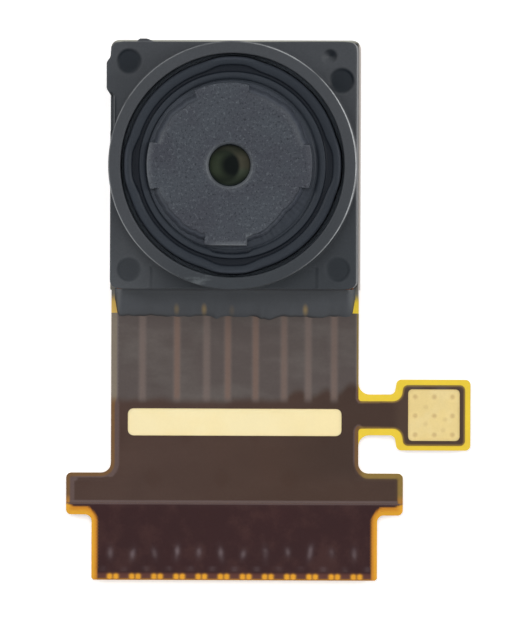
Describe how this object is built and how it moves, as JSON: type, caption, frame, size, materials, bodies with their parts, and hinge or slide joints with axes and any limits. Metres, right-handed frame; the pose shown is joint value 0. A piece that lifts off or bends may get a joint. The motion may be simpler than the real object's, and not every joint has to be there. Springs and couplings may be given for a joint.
{
  "type": "camera module",
  "caption": "Fixed-focus camera module: square black lens head on a flexible printed circuit with a ground bar, a side ground pad and a plug-in contact tail.",
  "frame": {"origin": "on the optical axis, at the flat underside of the steel plate behind the head", "axes": "+Z along the optical axis, out of the lens; +Y from the contact tail to the head; the side pad is on +X"},
  "size_m": [0.0109, 0.0146, 0.004],
  "materials": {
    "housing_plastic": "matt black moulded",
    "barrel_plastic": "spark-eroded black",
    "lens_plastic": "coated clear plastic",
    "filter_glass": "coated glass",
    "black_film": "matt",
    "steel": "rolled sheet",
    "bond_film": "adhesive",
    "amber_film": "clear amber",
    "dark_film": "dark brown, satin",
    "copper": "etched foil",
    "gold": "plated",
    "black_epoxy": "cured, satin",
    "silicon": "polished",
    "capacitor_ceramic": "fired",
    "tin": "plated"
  },
  "bodies": {
    "root": {"back_plate": "steel", "back_plate_bond": "bond_film", "back_cover_film": "amber_film", "signal_traces": "copper", "contact_fingers": "gold", "flex_base_film": "amber_film", "ground_plane": "copper", "front_cover_film": "amber_film", "shield_film": "dark_film", "bar_plating": "gold", "pad_plating": "gold", "tail_plate_bond": "bond_film", "tail_plate": "amber_film", "edge_glue": "black_epoxy", "housing_bond": "black_epoxy", "housing": "housing_plastic", "filter_bond": "black_epoxy", "infrared_filter": "filter_glass", "lens_barrel": "barrel_plastic", "first_element": "lens_plastic", "first_stop": "black_film", "second_element": "lens_plastic", "second_stop": "black_film", "third_element": "lens_plastic", "spacer_ring": "barrel_plastic", "rear_element": "lens_plastic", "retaining_ring": "barrel_plastic", "image_sensor": "silicon", "die_bond": "bond_film", "bond_wires": "gold", "head_pads": "gold", "capacitors": "capacitor_ceramic", "capacitor_terminals": "tin"}
  },
  "joints": []
}
